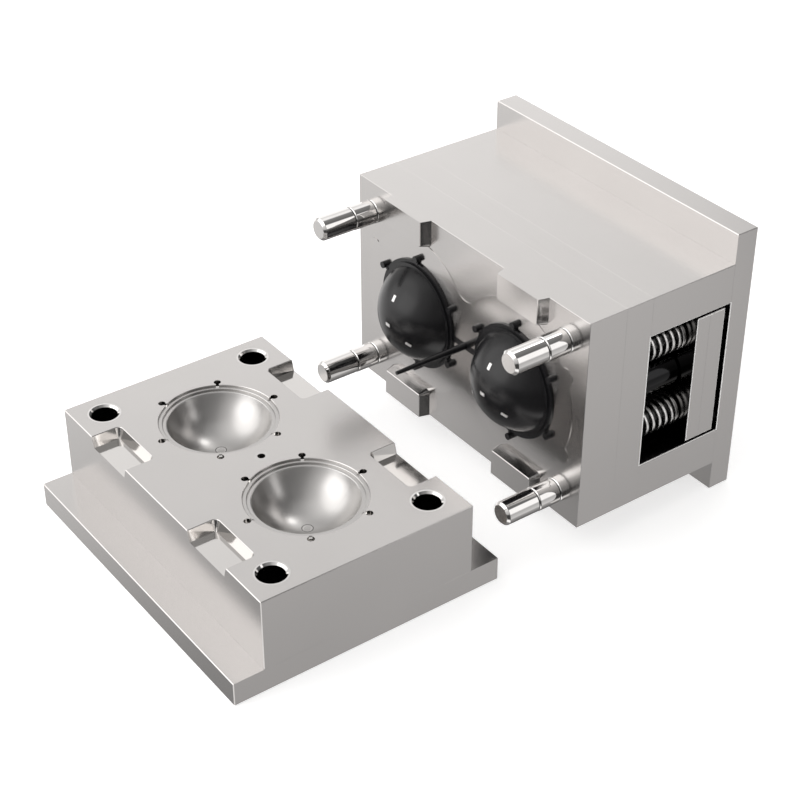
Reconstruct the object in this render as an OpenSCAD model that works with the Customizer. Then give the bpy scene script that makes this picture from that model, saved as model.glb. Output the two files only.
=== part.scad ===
// Two-cavity, two-plate injection mould for a shallow dome, laid open.
// The cavity half lies on its back and the core half stands on its clamp edge,
// with the moulded shot still on its cores. Millimetres, +Z up. The origin is on
// the sprue axis at the cavity half's back face.
// Both halves are drawn face up in a frame of their own: x is the short side,
// y the long side, z = 0 the parting face, and the plates go down from there.

/* [Mould base] */
// Short side of the mould body
body_w = 180; // [170:1:200]
// Long side of the mould body
body_l = 280; // [260:1:320]
// How far the clamp plates stand out past the long sides
clamp_overhang = 25; // [15:1:40]
// Thickness of both clamp plates
clamp_t = 20; // [18:1:30]
// Thickness of the cavity plate
cavity_plate_t = 60; // [58:1:80]
// Thickness of the core plate
core_plate_t = 35; // [30:1:50]
// Thickness of the support plate
support_t = 25; // [24:1:40]
// Height of the spacer blocks, which is the ejector space
spacer_h = 80; // [76:1:100]
// Chamfer on the free edges of the ground plates
edge_break = 0.6; // [0.3:0.1:1.5]
// Chamfer on the edges where two plates meet
seam_break = 0.05; // [0.05:0.05:0.3]
// Chamfer on the edges of cavities, pockets and interlock blocks
rim_break = 0.4; // [0.1:0.1:0.8]

/* [Layout] */
// Distance from the sprue axis to the core half's parting face
core_x = 180; // [175:1:260]
// Sideways offset of the core half
core_y = -12; // [-40:1:40]

/* [Guides] */
// Diameter of the guide pins
guide_d = 20; // [16:1:20]
// Distance from the plate's long edge to a guide pin's axis
guide_in_w = 23; // [20:0.5:24]
// Distance from the plate's short edge to a guide pin's axis
guide_in_l = 22; // [18:0.5:24]
// Offset that lets the halves go together one way round only
guide_offset = 2; // [0:0.5:3]
// How far the guide pins stand out of the parting face
guide_reach = 54.5; // [40:0.5:56]
// Radial growth of a guide pin's head over its shank
guide_head_rim = 2.5; // [2:0.5:4]
// Thickness of the heads of guide pins and bushes
guide_head_t = 6; // [4:0.5:8]
// Bevel at the tip of a guide pin
guide_tip = 2; // [1:0.5:4]
// Oil grooves, as heights over the parting face
groove_heights = [4.5, 24.5];
// Width of an oil groove
groove_w = 1.2; // [0.8:0.1:2]
// Depth of an oil groove
groove_depth = 0.5; // [0.2:0.1:0.8]
// Wall of the guide bushes
bush_wall = 3; // [2.5:0.5:4]
// Lead-in bevel at the mouth of a bush
bush_bevel = 1.6; // [0.8:0.1:2]

/* [Interlocks] */
// Length of an interlock block at its foot
lock_l = 51; // [40:1:56]
// Distance from the plate's short edge to the middle of an interlock
lock_in_l = 70; // [64:1:76]
// Depth of an interlock from the long side inwards
lock_depth = 24; // [18:0.5:26]
// Height of an interlock block
lock_h = 8.5; // [6:0.5:12]
// Slope of the interlock faces, as run over the full height
lock_draft = 2.5; // [1:0.1:3]
// Radius of the inner corners of an interlock
lock_corner = 4; // [2:0.5:6]
// Clearance of the pockets round the interlock blocks
lock_gap = 0.3; // [0.1:0.05:0.5]
// Clearance over the interlock blocks, at the pockets' floors
pocket_floor_gap = 0.5; // [0.3:0.1:1]

/* [Moulding] */
// Distance between the two mouldings
dome_pitch = 120; // [116:1:126]
// Radius of the dome where it meets its rim
dome_r = 40; // [34:0.5:41]
// Height of the dome over the parting face
dome_h = 30; // [24:0.5:34]
// Wall thickness of the dome
dome_wall = 2.5; // [1.5:0.1:3.5]
// Width of the raised rim round the dome
rim_w = 3; // [2:0.5:4]
// Height of the raised rim
rim_t = 3; // [2.5:0.1:4]
// Width of the flange round the rim
flange_w = 3; // [2:0.5:4]
// Thickness of the flange
flange_t = 1.5; // [1:0.1:2]
// Distance from the flange's edge to the middle of an ejection tab
tab_reach = 4; // [3.5:0.5:5]
// Radius of an ejection tab
tab_r = 2.8; // [2.3:0.1:3]
// Height of the ejection tabs
tab_h = 4; // [3:0.1:5]
// Height of the neck between a tab and the flange
neck_h = 2; // [1.7:0.1:2.8]
// Width of the neck between a tab and the flange
neck_w = 2.4; // [2:0.1:4]
// How far a neck reaches in over the flange
neck_lap = 1.5; // [1:0.1:2]
// Width of the slots in the dome
slot_w = 3.2; // [1.5:0.1:4]
// Length of the three outer slots in the dome
slot_l = 5; // [4:0.5:9]
// Length of the slot at the top of the dome
top_slot_l = 5.5; // [4:0.5:9]
// Radius of the circle of the three outer slots
slot_ring_r = 22; // [18:0.5:28]
// Clearance between a slot and the boss that forms it
slot_gap = 0.2; // [0.05:0.05:0.3]
// Clearance between the dome and its core
shrink_gap = 0.3; // [0.2:0.05:0.5]

/* [Sprue and runner] */
// Radius of the sprue at the nozzle
sprue_tip_r = 1.5; // [1.2:0.1:2]
// Radius of the sprue at the parting face
sprue_base_r = 3; // [2.5:0.1:4]
// Depth of the nozzle seat, from the cavity half's back face
nozzle_depth = 15; // [12:0.5:17]
// Radius of the ball seat for the machine nozzle
nozzle_seat_r = 16; // [13:0.5:18]
// Width of the runner at the parting face
runner_w = 6; // [4:0.5:8]
// Depth of the runner under the parting face
runner_down = 2.6; // [2:0.1:4]
// Depth of the cold-slug well behind the sprue
slug_h = 6; // [4:0.5:8]
// Radius of the sprue bushing's shank
bushing_r = 6; // [5:0.5:8]
// Radius of the sprue bushing's head
bushing_head_r = 19; // [17:0.5:24]
// Outer radius of the locating ring
ring_r = 50; // [45:1:52]
// Inner radius of the locating ring
ring_bore_r = 18; // [16:0.5:18]
// Thickness of the locating ring
ring_t = 10; // [8:0.5:10]

/* [Core inserts] */
// Extra radius of an insert's head
insert_head_rim = 4; // [2:0.5:5]
// Thickness of an insert's head
insert_head_t = 5; // [4:0.5:8]
// Radius of the cooling well in an insert
well_r = 8; // [7.5:0.5:9]
// How far the cooling well reaches above the parting face
well_up = 12; // [6:1:14]
// Thickness of a baffle blade
baffle_t = 1.6; // [1:0.1:2.5]
// Clearance of a baffle blade in its well
baffle_gap = 0.3; // [0.2:0.1:0.5]
// Passage for the water over a baffle blade
baffle_pass = 5; // [4:0.5:8]
// Growth of a baffle's plug over the well
plug_rim = 1; // [0.5:0.5:2]
// Length of a baffle's screwed plug
baffle_plug_l = 8; // [6:0.5:8]
// Radius of the sealing ring's cord
seal_cord_r = 1; // [0.8:0.1:1.2]
// Distance from the well's wall to the sealing ring
seal_out = 4; // [3:0.5:6]
// Side clearance of the sealing ring in its groove
seal_gap = 0.3; // [0.2:0.1:0.5]
// Radius of the vent pin at the bottom of a cavity
vent_r = 4; // [3:0.5:6]
// Radius of the sealing land round each cavity
land_r = 67; // [60:0.5:68]
// Half width of the land between the cavities
land_waist = 40; // [32:1:48]
// Relief of the core plate's face outside the land
land_step = 0.4; // [0.2:0.05:0.6]

/* [Ejection] */
// Width of the ejector plates
ejector_w = 110; // [109:1:116]
// Gap between the ejector plates and a spacer block
ejector_gap = 2; // [1:0.5:4]
// Thickness of the ejector retainer plate
retainer_t = 13; // [12:0.5:16]
// Thickness of the ejector base plate
base_t = 15; // [14:0.5:18]
// Height of the stop buttons
stop_h = 5; // [4:0.5:8]
// Radius of a stop button
stop_r = 8; // [6:0.5:9]
// Length of a stop button's pressed shank
stop_shank = 7; // [5:0.5:10]
// Distance from the ejector plates' edges to a stop button's axis
stop_in = 10; // [9:0.5:12]
// Radius of a return pin
return_r = 7.5; // [6:0.5:8]
// Return pins from the middle, across the mould
return_x = 34; // [32:0.5:36]
// Distance from the plate's short edge to a return pin's axis
return_in_l = 22; // [20:0.5:24]
// Radial growth of a return pin's head over its shank
return_head_rim = 2.5; // [2:0.5:3]
// Thickness of a return pin's head
return_head_t = 6; // [4:0.5:8]
// Outer radius of a return spring
spring_r = 13.5; // [12:0.5:14]
// Wire height of a return spring, along its axis
spring_wire_h = 2.5; // [2:0.1:3]
// Wire thickness of a return spring, across its axis
spring_wire_t = 3.2; // [2:0.1:3.4]
// Pitch of a return spring's working turns
spring_pitch = 6.4; // [5:0.1:8]
// Depth of the spring pockets in the support plate
spring_pocket = 20; // [10:1:20]
// Clearance round a spring in its pocket
spring_gap = 1; // [0.5:0.1:2]
// Radius of an ejector pin
pin_r = 2; // [1.5:0.1:2.2]
// Radius of the sprue puller pin
puller_r = 2.5; // [2:0.1:3]
// Radial growth of an ejector pin's head over its shank
pin_head_rim = 2; // [1:0.5:2]
// Thickness of an ejector pin's head
pin_head_t = 4; // [3:0.5:6]
// Radius of a support pillar
pillar_r = 14; // [10:0.5:15]
// Clearance round a pillar in the ejector plates
pillar_gap = 2; // [1:0.5:3]
// Distance from the plate's short edge to the outer pillars' axis
pillar_in_l = 27; // [20:1:30]
// Radius of the knock-out hole in the core clamp plate
knock_out_r = 20; // [12:0.5:22]
// Radius of the rod thread in the ejector base plate
rod_thread_r = 7; // [5:0.5:8]
// Depth of the rod thread
rod_thread_depth = 10; // [8:0.5:12]

/* [Cooling] */
// Radius of the cooling channels
channel_r = 4; // [3:0.5:4]
// Cavity channels from the middle, across the mould
cavity_channel_x = 22; // [18:0.5:26]
// Height of the cavity channels over the clamp plate
cavity_channel_z = 16; // [10:0.5:18]
// Distance from the plate's short edge to the cavity plate's cross channel
cavity_cross_in = 43; // [42:0.5:44]
// Feed channel in the support plate, from the middle
core_feed_x = 9; // [8.5:0.5:9]
// Radius of the recess round a hose nipple
nipple_recess_r = 9; // [8.5:0.5:9]
// Depth of the recess round a hose nipple
nipple_recess = 18; // [14:0.5:22]
// Length of a hose nipple's thread
nipple_thread_l = 8; // [6:0.5:10]
// Radius of a hose nipple's bore
nipple_bore_r = 2.5; // [2:0.1:3]
// Radius of a hose nipple's stem
nipple_stem_r = 4; // [3.5:0.1:4.5]
// Radius over the corners of a hose nipple's hexagon
nipple_hex_r = 7.5; // [6.5:0.1:8]
// Thickness of a hose nipple's hexagon
nipple_hex_t = 5; // [4:0.5:6]
// Radius of a hose nipple's barb
barb_r = 5; // [4.6:0.1:5.5]
// Length of a hose nipple's barb
barb_l = 4; // [3:0.5:5]
// How far a hose nipple's end lies inside its recess
nipple_inset = 2; // [1:0.5:4]
// Length of a channel plug
plug_l = 10; // [8:0.5:12]
// How far a channel plug lies under the plate's side
plug_sink = 1; // [0.5:0.5:2]
// Radius over the corners of a plug's hexagon socket
plug_socket_r = 4; // [3:0.1:4.2]
// Depth of a plug's hexagon socket
plug_socket = 3; // [2:0.5:4]

/* [Fasteners] */
// Thread size of the screws through each stack of plates
main_screw = 10; // [8:1:10]
// Thread size of the spacer and pillar screws
small_screw = 8; // [6:1:8]
// Thread size of the ejector plate screws
ejector_screw = 6; // [5:1:6]
// Thread size of the locating ring screws
ring_screw = 6; // [5:1:6]
// Distance from the plate's long edge to a cavity screw's axis
cavity_screw_in_w = 23; // [20:1:28]
// Distance from the plate's short edge to a cavity screw's axis
cavity_screw_in_l = 60; // [58:1:64]
// Distance from the plate's short edge to a long core screw's axis
core_screw_in = 40; // [39:0.5:42]
// Distance from the plate's short edge to a spacer screw's axis
spacer_screw_in = 15; // [12:0.5:18]
// Distance from the ejector plates' long edges to their screws
ejector_screw_in = 13; // [12:0.5:16]
// Ejector plate screws from the middle, along the mould
ejector_screw_y = 82; // [80:0.5:86]
// Spacer dowels from the middle, along the mould
dowel_y = 40; // [30:1:60]
// Radius of a spacer dowel
dowel_r = 5; // [4:0.5:5]
// Lifting thread, as its core radius
lift_r = 4.25; // [3.4:0.05:5.1]
// Depth of a lifting thread
lift_depth = 20; // [16:1:24]
// Depth of the cavity screws' threads in the cavity plate
cavity_screw_reach = 20; // [15:1:22]
// Depth of the long screws' threads in the core plate
core_screw_reach = 23; // [15:1:25]
// Depth of the threads in the spacer blocks and pillars
spacer_screw_reach = 20; // [14:1:24]
// Radius of the circle of the locating ring screws
ring_screw_circle = 40; // [38:0.5:41]
// How far the dowels reach into the plates
dowel_reach = 10; // [8:1:14]
// Side clearance of a screw's head in its recess
head_gap = 0.75; // [0.5:0.05:1]
// How far a screw's head lies under the plate's face
head_sink = 1; // [0.5:0.1:2]
// Free thread past the end of a screw
thread_spare = 1; // [0.5:0.5:2]
// Steel left under a blind thread
blind_wall = 2; // [1.5:0.5:3]

/* [Hidden] */
$fn = 64;

// Steel and plastic colours
plate_grey = [0.80, 0.79, 0.77];
pin_grey = [0.86, 0.87, 0.88];
screw_black = [0.16, 0.16, 0.17];
brass_yellow = [0.80, 0.64, 0.32];
shot_black = [0.07, 0.07, 0.08];

// Clearance of pressed pieces, of pieces that slide in a bore, and of free holes
press_gap = 0.01;
slide_gap = 0.03;
clear_gap = 0.5;
// Overcut that keeps cuts clear of the faces they open
cut = 1;

// Heights of the plate joints under the parting face
cavity_stack = cavity_plate_t + clamp_t;
support_z = -core_plate_t;
space_z = support_z - support_t;
clamp_z = space_z - spacer_h;
back_z = clamp_z - clamp_t;
base_back_z = clamp_z + stop_h;
base_front_z = base_back_z + base_t;
retainer_front_z = base_front_z + retainer_t;

// Widths worked out from the mould base
clamp_w = body_w + 2 * clamp_overhang;
core_z = clamp_w / 2;
spacer_w = (body_w - ejector_w) / 2 - ejector_gap;
spacer_x = body_w / 2 - spacer_w / 2;

// Steps of the moulding's edge
rim_r = dome_r + rim_w;
flange_r = rim_r + flange_w;
tab_circle_r = flange_r + tab_reach;
neck_end_r = flange_r - neck_lap;

// The dome's spherical shell, and the core that fills it
cap_h = dome_h - rim_t;
shell_r = (dome_r * dome_r + cap_h * cap_h) / (2 * cap_h);
shell_z = dome_h - shell_r;
inner_r = shell_r - dome_wall;
core_cap_r = inner_r - shrink_gap;
dome_bore_r = sqrt(inner_r * inner_r - (shell_z - rim_t) * (shell_z - rim_t));
insert_r = dome_bore_r - shrink_gap;
dome_places = [-dome_pitch / 2, dome_pitch / 2];
tab_angles = [for (i = [0:5]) i * 60];
slot_angles = [0, 120, 240];

// Guide places on the core half; the cavity half has their mirror image
guide_r = guide_d / 2;
guide_x = body_w / 2 - guide_in_w;
guide_y = body_l / 2 - guide_in_l;
guide_places = [[guide_x, guide_y], [guide_x, -guide_y], [-guide_x, guide_y],
    [-guide_x, -guide_y + guide_offset]];
bush_r = guide_r + bush_wall;
bush_head_r = bush_r + guide_head_rim;

// Corner patterns
function corners(x, y) = [for (i = [-1, 1], j = [-1, 1]) [i * x, j * y]];
lock_y = body_l / 2 - lock_in_l;
return_places = corners(return_x, body_l / 2 - return_in_l);
ejector_screw_places = corners(ejector_w / 2 - ejector_screw_in, ejector_screw_y);
stop_x = ejector_w / 2 - stop_in;
stop_places = concat(corners(stop_x, body_l / 2 - stop_in), [[-stop_x, 0], [stop_x, 0]]);
pillar_places = [for (s = [-1, 1], y = [dome_pitch / 2, body_l / 2 - pillar_in_l]) s * y];
cavity_screw_places = corners(body_w / 2 - cavity_screw_in_w, body_l / 2 - cavity_screw_in_l);
core_screw_y = body_l / 2 - core_screw_in;
spacer_screw_y = body_l / 2 - spacer_screw_in;

// Ejector pins stand behind the tabs
pin_places = [for (y = dome_places, a = tab_angles)
    [tab_circle_r * cos(a), y + tab_circle_r * sin(a)]];
pin_head_r = pin_r + pin_head_rim;
return_head_r = return_r + return_head_rim;
puller_head_r = puller_r + pin_head_rim;

// Socket screws: head size and its recess follow the thread size
function head_r(d) = 0.8 * d;
function recess_r(d) = head_r(d) + head_gap;
function recess_h(d) = d + head_sink;
ejector_screw_reach = retainer_t - blind_wall;
ring_screw_reach = clamp_t - ring_t - blind_wall;

// The core's channels run in the middle of the support plate. The return channel lies
// midway between ejector pins and long screws, the cross channel between well and screw.
core_channel_z = support_z - support_t / 2;
core_return_x = (tab_circle_r + spacer_x) / 2;
core_cross_y = (dome_pitch / 2 + well_r + core_screw_y) / 2;
cavity_cross_y = body_l / 2 - cavity_cross_in;
well_foot_z = space_z + baffle_plug_l;
seal_r = well_r + seal_out;
seal_groove_w = 2 * (seal_cord_r + seal_gap);
nipple_thread_r = channel_r + 1;

// Stand one half's frame in the layout
module in_cavity_half() {
    translate([0, 0, cavity_stack]) children();
}
module in_core_half() {
    translate([core_x, core_y, core_z]) rotate([0, -90, 0]) children();
}

// Put the children at every place of a list
module at(places) {
    for (p = places) translate([p[0], p[1], 0]) children();
}

// Round bar or hole between two heights
module bar(r, z0, z1) {
    translate([0, 0, z0]) cylinder(r = r, h = z1 - z0);
}

// Round bar or hole along the long side, between two places
module bar_y(r, y0, y1) {
    translate([0, y0, 0]) rotate([-90, 0, 0]) cylinder(r = r, h = y1 - y0);
}

// Round bar or hole along the short side, between two places
module bar_x(r, x0, x1) {
    translate([x0, 0, 0]) rotate([0, 90, 0]) cylinder(r = r, h = x1 - x0);
}

// Rectangle with its bottom and top corners cut at 45 degrees
module broken_rect(half, z0, z1, c0, c1) {
    polygon([[-half + c0, z0], [half - c0, z0], [half, z0 + c0], [half, z1 - c1],
        [half - c1, z1], [-half + c1, z1], [-half, z1 - c1], [-half, z0 + c0]]);
}

// Ground plate: the long edges and the end edges have their own chamfers
module ground_plate(w, l, z0, z1, long0, long1, end0, end1) {
    intersection() {
        translate([0, l / 2 + cut, 0]) rotate([90, 0, 0])
            linear_extrude(l + 2 * cut) broken_rect(w / 2, z0, z1, long0, long1);
        rotate([90, 0, 90]) translate([0, 0, -w / 2 - cut])
            linear_extrude(w + 2 * cut) broken_rect(l / 2, z0, z1, end0, end1);
        translate([0, 0, z0 - cut]) linear_extrude(z1 - z0 + 2 * cut)
            broken_rect(w / 2, -l / 2, l / 2, edge_break, edge_break);
    }
}

// Socket head screw: its head's underside is at z = 0 and it points up
module socket_screw(d, l) {
    difference() {
        union() {
            bar(d / 2 - press_gap, 0, l);
            bar(head_r(d), -d, 0);
        }
        translate([0, 0, -d - cut]) cylinder(r = d * 0.45, h = d * 0.5 + cut, $fn = 6);
    }
}

// Hole for a socket screw that enters at the back face at z = 0
module screw_hole(d, through, reach) {
    bar(recess_r(d), -cut, recess_h(d));
    bar(d / 2 + clear_gap, 0, through);
    bar(d / 2, 0, through + reach);
}

// Outer form of one moulding, over the parting face
module moulding_form(under) {
    bar(flange_r, -under, flange_t);
    bar(rim_r, 0, rim_t);
    intersection() {
        translate([0, 0, shell_z]) sphere(r = shell_r);
        bar(dome_r + cut, 0, dome_h + cut);
    }
    for (a = tab_angles) rotate(a) {
        translate([tab_circle_r, 0, 0]) bar(tab_r, -under, tab_h);
        translate([neck_end_r, -neck_w / 2, -under])
            cube([tab_circle_r - neck_end_r, neck_w, neck_h + under]);
    }
}

// Chamfer cut round the edge of a round step, at its height
module lead_in(r, z) {
    translate([0, 0, z]) cylinder(r1 = r + rim_break, r2 = r, h = rim_break);
}

// One slot's plan: three lie along the radius and one lies at the middle
module slot_plan(gap) {
    for (a = slot_angles) rotate(a) translate([slot_ring_r, 0])
        square([slot_l - 2 * gap, slot_w - 2 * gap], center = true);
    square([slot_w - 2 * gap, top_slot_l - 2 * gap], center = true);
}

// Tapered interlock: block on the core plate, or its pocket in the cavity plate.
// Its two inner corners are cones, so the rounding follows the slope of the walls.
module interlock(grow, foot, top, outer, slope = lock_draft / lock_h) {
    foot_r = lock_corner + grow - slope * foot;
    top_r = lock_corner + grow - slope * top;
    x = body_w / 2 - lock_depth + lock_corner;
    y = lock_l / 2 - lock_corner;
    translate([0, y, 0]) rotate([90, 0, 0]) linear_extrude(2 * y)
        polygon([[x - foot_r, foot], [outer, foot], [outer, top], [x - top_r, top]]);
    translate([x, 0, 0]) rotate([90, 0, 90]) linear_extrude(outer - x)
        polygon([[-y - foot_r, foot], [y + foot_r, foot], [y + top_r, top], [-y - top_r, top]]);
    for (s = [-y, y]) translate([x, s, foot])
        cylinder(r1 = foot_r, r2 = top_r, h = top - foot);
}

// Sealing land: a circle round each cavity, with a hollow fillet between the two
module land_plan() {
    far = dome_pitch / 2;
    fillet = (land_waist * land_waist + far * far - land_r * land_r)
        / (2 * (land_r - land_waist));
    x = land_waist + fillet;
    share = land_r / (land_r + fillet);
    for (y = dome_places) translate([0, y]) circle(r = land_r);
    difference() {
        square([2 * x * share, 2 * far * (1 - share)], center = true);
        for (s = [-x, x]) translate([s, 0]) circle(r = fillet);
    }
}

// Places of the four interlocks
module at_interlocks() {
    for (s = [0, 180], y = [-1, 1])
        translate([0, y * lock_y, 0]) rotate(s) children();
}

// Runner bar between the two mouldings, sunk in the parting face
module runner_bar(top) {
    inner = dome_pitch / 2 - flange_r + (flange_r - rim_r) / 2;
    half = runner_w / 2;
    taper = runner_down / 4;
    translate([0, inner, 0]) rotate([90, 0, 0]) linear_extrude(2 * inner)
        polygon([[-half + taper, -runner_down], [half - taper, -runner_down], [half, 0],
            [half, top], [-half, top], [-half, 0]]);
}

// Brass hose nipple: its thread's end is at y = 0 and it points along +y
module hose_nipple() {
    seat = nipple_thread_l;
    end = seat + nipple_recess - nipple_inset;
    difference() {
        union() {
            bar_y(nipple_thread_r - press_gap, 0, seat);
            translate([0, seat, 0]) rotate([-90, 0, 0])
                cylinder(r = nipple_hex_r, h = nipple_hex_t, $fn = 6);
            bar_y(nipple_stem_r, seat + nipple_hex_t, end);
            translate([0, end - barb_l, 0]) rotate([-90, 0, 0])
                cylinder(r1 = barb_r, r2 = nipple_stem_r, h = barb_l);
        }
        bar_y(nipple_bore_r, -cut, end + cut);
    }
}

// Recess, thread and channel of a nipple that enters at the far short side
module nipple_hole(end) {
    face = body_l / 2;
    bar_y(nipple_recess_r, face - nipple_recess, face + cut);
    bar_y(nipple_thread_r, face - nipple_recess - nipple_thread_l, face);
    bar_y(channel_r, end, face);
}

// Screwed plug with a hexagon socket; it closes a channel at x = 0, going to -x
module channel_plug() {
    difference() {
        bar_x(nipple_thread_r - press_gap, -plug_l, 0);
        translate([-plug_socket, 0, 0]) rotate([0, 90, 0])
            cylinder(r = plug_socket_r, h = plug_socket + cut, $fn = 6);
    }
}

// Lifting thread in the middle of a plate's far short side
module lift_hole(z) {
    translate([0, 0, z]) bar_y(lift_r, body_l / 2 - lift_depth, body_l / 2 + cut);
}

module cavity_clamp_plate() color(plate_grey) in_cavity_half() difference() {
    ground_plate(clamp_w, body_l, -cavity_stack, -cavity_plate_t,
        edge_break, edge_break, edge_break, seam_break);
    translate([0, 0, -cavity_stack]) {
        bar(ring_r, -cut, ring_t);
        bar(bushing_head_r, 0, clamp_t + cut);
        at(cavity_screw_places) screw_hole(main_screw, clamp_t + cut, 0);
        at([[-ring_screw_circle, 0], [ring_screw_circle, 0]])
            bar(ring_screw / 2, 0, ring_t + ring_screw_reach);
    }
}

module cavity_plate() color(plate_grey) in_cavity_half() difference() {
    ground_plate(body_w, body_l, -cavity_plate_t, 0,
        seam_break, edge_break, seam_break, edge_break);
    at([for (y = dome_places) [0, y]]) {
        mirror([0, 0, 1]) {
            moulding_form(cut);
            lead_in(flange_r, 0);
            lead_in(rim_r, flange_t);
            lead_in(dome_r, rim_t);
        }
        bar(vent_r, -cavity_plate_t - cut, -dome_h);
    }
    at_interlocks() mirror([0, 0, 1]) {
        interlock(lock_gap, -cut, lock_h + pocket_floor_gap, body_w / 2 + cut);
        interlock(lock_gap + rim_break, -cut, rim_break, body_w / 2 + cut, 1);
    }
    mirror([1, 0, 0]) at(guide_places) {
        bar(bush_r, -cavity_plate_t - cut, cut);
        bar(bush_head_r, -cavity_plate_t - cut, -cavity_plate_t + guide_head_t);
    }
    bar(bushing_r, -cavity_plate_t - cut, cut);
    at(cavity_screw_places)
        bar(main_screw / 2, -cavity_plate_t - cut, -cavity_plate_t + cavity_screw_reach);
    translate([0, 0, -cavity_plate_t + cavity_channel_z]) {
        for (s = [-1, 1]) translate([s * cavity_channel_x, 0, 0])
            nipple_hole(-cavity_cross_y);
        translate([0, -cavity_cross_y, 0]) {
            bar_x(channel_r, -cavity_channel_x, body_w / 2);
            bar_x(nipple_thread_r, body_w / 2 - plug_sink - plug_l, body_w / 2 + cut);
        }
    }
    lift_hole(-cavity_plate_t / 2);
}

module guide_bushes() color(pin_grey) in_cavity_half()
    mirror([1, 0, 0]) at(guide_places) difference() {
        union() {
            bar(bush_r - press_gap, -cavity_plate_t, 0);
            bar(bush_head_r - clear_gap, -cavity_plate_t, -cavity_plate_t + guide_head_t);
        }
        bar(guide_r + slide_gap, -cavity_plate_t - cut, cut);
        translate([0, 0, -bush_bevel])
            cylinder(r1 = guide_r + slide_gap, r2 = guide_r + slide_gap + bush_bevel,
                h = bush_bevel);
        bar(guide_r + slide_gap + bush_bevel, 0, cut);
    }

module sprue_bushing() color(pin_grey) in_cavity_half() difference() {
    union() {
        bar(bushing_r - press_gap, -cavity_plate_t, 0);
        bar(bushing_head_r - press_gap, -cavity_stack + ring_t, -cavity_plate_t);
    }
    translate([0, 0, -cavity_stack + nozzle_depth]) {
        cylinder(r1 = sprue_tip_r, r2 = sprue_base_r, h = cavity_stack - nozzle_depth);
        translate([0, 0, -nozzle_seat_r]) sphere(r = nozzle_seat_r);
    }
    bar(sprue_base_r, 0, cut);
}

module locating_ring() color(pin_grey) in_cavity_half()
    translate([0, 0, -cavity_stack]) difference() {
        bar(ring_r - press_gap, 0, ring_t);
        bar(ring_bore_r, -cut, ring_t + cut);
        at([[-ring_screw_circle, 0], [ring_screw_circle, 0]])
            screw_hole(ring_screw, ring_t + cut, 0);
    }

module locating_ring_screws() color(screw_black) in_cavity_half()
    translate([0, 0, -cavity_stack])
        at([[-ring_screw_circle, 0], [ring_screw_circle, 0]])
            translate([0, 0, recess_h(ring_screw)])
                socket_screw(ring_screw,
                    ring_t + ring_screw_reach - recess_h(ring_screw) - thread_spare);

module cavity_plate_screws() color(screw_black) in_cavity_half()
    translate([0, 0, -cavity_stack]) at(cavity_screw_places)
        translate([0, 0, recess_h(main_screw)])
            socket_screw(main_screw,
                clamp_t - recess_h(main_screw) + cavity_screw_reach - thread_spare);

module vent_pins() color(pin_grey) in_cavity_half()
    at([for (y = dome_places) [0, y]]) difference() {
        bar(vent_r - press_gap, -cavity_plate_t, -dome_h + 1);
        translate([0, 0, -shell_z]) sphere(r = shell_r);
    }

module cavity_hose_nipples() color(brass_yellow) in_cavity_half()
    for (s = [-1, 1])
        translate([s * cavity_channel_x, body_l / 2 - nipple_recess - nipple_thread_l,
            -cavity_plate_t + cavity_channel_z]) hose_nipple();

module cavity_channel_plug() color(brass_yellow) in_cavity_half()
    translate([body_w / 2 - plug_sink, -cavity_cross_y, -cavity_plate_t + cavity_channel_z])
        channel_plug();

module core_plate() color(plate_grey) in_core_half() difference() {
    union() {
        difference() {
            ground_plate(body_w, body_l, support_z, 0,
                seam_break, edge_break, seam_break, edge_break);
            translate([0, 0, -land_step]) linear_extrude(cut) difference() {
                square([body_w + 2 * cut, body_l + 2 * cut], center = true);
                land_plan();
            }
        }
        at_interlocks() {
            interlock(0, -cut, lock_h - rim_break, body_w / 2);
            interlock((lock_h - rim_break) * (1 - lock_draft / lock_h), lock_h - rim_break,
                lock_h, body_w / 2, 1);
        }
    }
    at([for (y = dome_places) [0, y]]) {
        bar(insert_r + press_gap, support_z - cut, cut);
        bar(insert_r + insert_head_rim + press_gap, support_z - cut,
            support_z + insert_head_t);
    }
    runner_bar(cut);
    bar(sprue_base_r, -slug_h, cut);
    bar(puller_r + slide_gap, support_z - cut, 0);
    at(pin_places) bar(pin_r + slide_gap, support_z - cut, cut);
    at(return_places) bar(return_r + slide_gap, support_z - cut, cut);
    at(guide_places) {
        bar(guide_r + press_gap, support_z - cut, cut);
        bar(guide_r + guide_head_rim + press_gap, support_z - cut,
            support_z + guide_head_t);
    }
    at(corners(spacer_x, core_screw_y))
        bar(main_screw / 2, support_z - cut, support_z + core_screw_reach);
    lift_hole(support_z / 2);
}

module core_inserts() color(pin_grey) in_core_half()
    at([for (y = dome_places) [0, y]]) difference() {
        union() {
            bar(insert_r, support_z, 0);
            bar(insert_r + insert_head_rim, support_z, support_z + insert_head_t);
            intersection() {
                bar(insert_r, 0, dome_h);
                translate([0, 0, shell_z]) sphere(r = core_cap_r);
            }
            intersection() {
                linear_extrude(dome_h + cut) slot_plan(slot_gap);
                translate([0, 0, shell_z]) sphere(r = shell_r);
            }
        }
        bar(well_r, support_z - cut, well_up);
    }

module insert_seals() color(screw_black) in_core_half()
    at([for (y = dome_places) [0, y]]) translate([0, 0, support_z - seal_cord_r])
        rotate_extrude() translate([seal_r, 0]) circle(r = seal_cord_r, $fn = 24);

module insert_baffles() color(brass_yellow) in_core_half()
    at([for (y = dome_places) [0, y]]) {
        difference() {
            bar(well_r + plug_rim - press_gap, space_z, well_foot_z);
            translate([0, 0, space_z - cut])
                cylinder(r = plug_socket_r, h = plug_socket + cut, $fn = 6);
        }
        translate([-well_r + baffle_gap, -baffle_t / 2, well_foot_z])
            cube([2 * (well_r - baffle_gap), baffle_t, well_up - baffle_pass - well_foot_z]);
    }

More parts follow.
